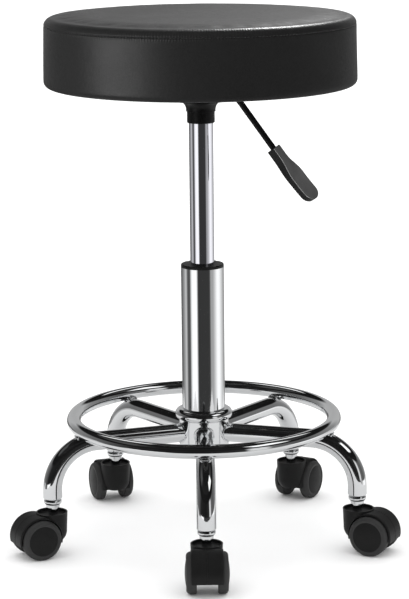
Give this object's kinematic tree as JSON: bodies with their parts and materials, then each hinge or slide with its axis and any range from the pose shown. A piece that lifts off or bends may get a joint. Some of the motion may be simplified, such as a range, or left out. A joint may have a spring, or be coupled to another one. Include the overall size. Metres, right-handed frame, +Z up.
{
  "type": "adjustable swivel stool",
  "caption": "Round padded swivel stool with a gas lift and its side lever, on a tubular spider base with a foot ring and twin-wheel casters.",
  "frame": {"origin": "on the floor, on the column's axis", "axes": "+Z up; the front leg points to -Y; +X is to the right when the front leg points at the viewer"},
  "size_m": [0.4542, 0.4354, 0.6185],
  "materials": {
    "chrome": "polished chrome plate on steel tube",
    "gas_tube": "polished chrome plate",
    "plain_steel": "bright zinc-plated steel",
    "black_steel": "satin black powder coat",
    "black_plastic": "fine moulded texture, black nylon",
    "tyre": "soft dark grey tread",
    "rubber": "black rubber",
    "black_leather": "black grained upholstery leather with sewn seams",
    "plywood": "birch plywood",
    "foam": "cut polyurethane foam",
    "dust_cloth": "black non-woven cloth"
  },
  "bodies": {
    "base": {"hub": "chrome", "leg_front": "chrome", "leg_right": "chrome", "leg_back_right": "chrome", "leg_back_left": "chrome", "leg_left": "chrome", "foot_ring": "chrome", "leg_sockets": "black_plastic", "caster_stems": "chrome", "outer_column": "chrome", "guide_bush": "black_plastic", "thrust_bearing": "plain_steel"},
    "lift_rod": {"piston_rod": "plain_steel", "rod_clip": "plain_steel", "rubber_buffer": "rubber", "piston": "plain_steel"},
    "seat": {"gas_cylinder": "gas_tube", "rod_guide": "plain_steel", "seat_socket": "black_steel", "seat_plate": "black_steel", "plate_screws": "plain_steel", "t_nuts": "plain_steel", "seat_board": "plywood", "seat_foam": "foam", "seat_cover": "black_leather", "seat_band": "black_leather", "dust_cover": "dust_cloth"},
    "lever": {"lever_rod": "black_steel", "lever_handle": "black_plastic"},
    "pin": {"release_pin": "plain_steel"},
    "caster_front": {"hood_front": "black_plastic", "axle_front": "plain_steel"},
    "wheel_front_a": {"wheel_front_a": "black_plastic", "tyre_front_a": "tyre"},
    "wheel_front_b": {"wheel_front_b": "black_plastic", "tyre_front_b": "tyre"},
    "caster_right": {"hood_right": "black_plastic", "axle_right": "plain_steel"},
    "wheel_right_a": {"wheel_right_a": "black_plastic", "tyre_right_a": "tyre"},
    "wheel_right_b": {"wheel_right_b": "black_plastic", "tyre_right_b": "tyre"},
    "caster_back_right": {"hood_back_right": "black_plastic", "axle_back_right": "plain_steel"},
    "wheel_back_right_a": {"wheel_back_right_a": "black_plastic", "tyre_back_right_a": "tyre"},
    "wheel_back_right_b": {"wheel_back_right_b": "black_plastic", "tyre_back_right_b": "tyre"},
    "caster_back_left": {"hood_back_left": "black_plastic", "axle_back_left": "plain_steel"},
    "wheel_back_left_a": {"wheel_back_left_a": "black_plastic", "tyre_back_left_a": "tyre"},
    "wheel_back_left_b": {"wheel_back_left_b": "black_plastic", "tyre_back_left_b": "tyre"},
    "caster_left": {"hood_left": "black_plastic", "axle_left": "plain_steel"},
    "wheel_left_a": {"wheel_left_a": "black_plastic", "tyre_left_a": "tyre"},
    "wheel_left_b": {"wheel_left_b": "black_plastic", "tyre_left_b": "tyre"}
  },
  "joints": [
    {"name": "swivel", "type": "hinge", "parent": "base", "child": "lift_rod", "pos_m": [0, 0, 0.118], "axis": [0, 0, 1], "continuous": true},
    {"name": "lift", "type": "slide", "parent": "lift_rod", "child": "seat", "axis": [0, 0, 1], "range_m": [-0.14, 0]},
    {"name": "lever_lift", "type": "hinge", "parent": "seat", "child": "lever", "pos_m": [0.02499, -0.02038, 0.5289], "axis": [-0.632, -0.7749, 0], "range_deg": [0, 6], "stiffness_Nm_per_rad": 0.8, "springref_deg": -8.59},
    {"name": "pin_press", "type": "slide", "parent": "seat", "child": "pin", "axis": [0, 0, 1], "range_m": [-0.0036, 0]},
    {"name": "caster_front_swivel", "type": "hinge", "parent": "base", "child": "caster_front", "pos_m": [0.00162, -0.18589, 0.05], "axis": [0, 0, 1], "continuous": true},
    {"name": "wheel_front_a_spin", "type": "hinge", "parent": "caster_front", "child": "wheel_front_a", "pos_m": [-0.016, -0.2077, 0.0235], "axis": [0.9998, 0.0175, 0], "continuous": true},
    {"name": "wheel_front_b_spin", "type": "hinge", "parent": "caster_front", "child": "wheel_front_b", "pos_m": [0.01999, -0.20708, 0.0235], "axis": [0.9998, 0.0175, 0], "continuous": true},
    {"name": "caster_right_swivel", "type": "hinge", "parent": "base", "child": "caster_right", "pos_m": [0.1773, -0.0559, 0.05], "axis": [0, 0, 1], "continuous": true},
    {"name": "wheel_right_a_spin", "type": "hinge", "parent": "caster_right", "child": "wheel_right_a", "pos_m": [0.18873, -0.0815, 0.0235], "axis": [0.4384, 0.8988, 0], "continuous": true},
    {"name": "wheel_right_b_spin", "type": "hinge", "parent": "caster_right", "child": "wheel_right_b", "pos_m": [0.20451, -0.04915, 0.0235], "axis": [0.4384, 0.8988, 0], "continuous": true},
    {"name": "caster_back_right_swivel", "type": "hinge", "parent": "base", "child": "caster_back_right", "pos_m": [0.10795, 0.15134, 0.05], "axis": [0, 0, 1], "continuous": true},
    {"name": "wheel_back_right_a_spin", "type": "hinge", "parent": "caster_back_right", "child": "wheel_back_right_a", "pos_m": [0.13429, 0.16096, 0.0235], "axis": [-0.866, 0.5, 0], "continuous": true},
    {"name": "wheel_back_right_b_spin", "type": "hinge", "parent": "caster_back_right", "child": "wheel_back_right_b", "pos_m": [0.10311, 0.17896, 0.0235], "axis": [-0.866, 0.5, 0], "continuous": true},
    {"name": "caster_back_left_swivel", "type": "hinge", "parent": "base", "child": "caster_back_left", "pos_m": [-0.11058, 0.14944, 0.05], "axis": [0, 0, 1], "continuous": true},
    {"name": "wheel_back_left_a_spin", "type": "hinge", "parent": "caster_back_left", "child": "wheel_back_left_a", "pos_m": [-0.10056, 0.17563, 0.0235], "axis": [-0.9455, -0.3256, 0], "continuous": true},
    {"name": "wheel_back_left_b_spin", "type": "hinge", "parent": "caster_back_left", "child": "wheel_back_left_b", "pos_m": [-0.1346, 0.1639, 0.0235], "axis": [-0.9455, -0.3256, 0], "continuous": true},
    {"name": "caster_left_swivel", "type": "hinge", "parent": "base", "child": "caster_left", "pos_m": [-0.17629, -0.05899, 0.05], "axis": [0, 0, 1], "continuous": true},
    {"name": "wheel_left_a_spin", "type": "hinge", "parent": "caster_left", "child": "wheel_left_a", "pos_m": [-0.20351, -0.05223, 0.0235], "axis": [0.4384, -0.8988, 0], "continuous": true},
    {"name": "wheel_left_b_spin", "type": "hinge", "parent": "caster_left", "child": "wheel_left_b", "pos_m": [-0.18773, -0.08459, 0.0235], "axis": [0.4384, -0.8988, 0], "continuous": true}
  ],
  "couplings": [
    {"joint": "pin_press", "follows": "lever_lift", "m_per_rad": -0.03225}
  ]
}
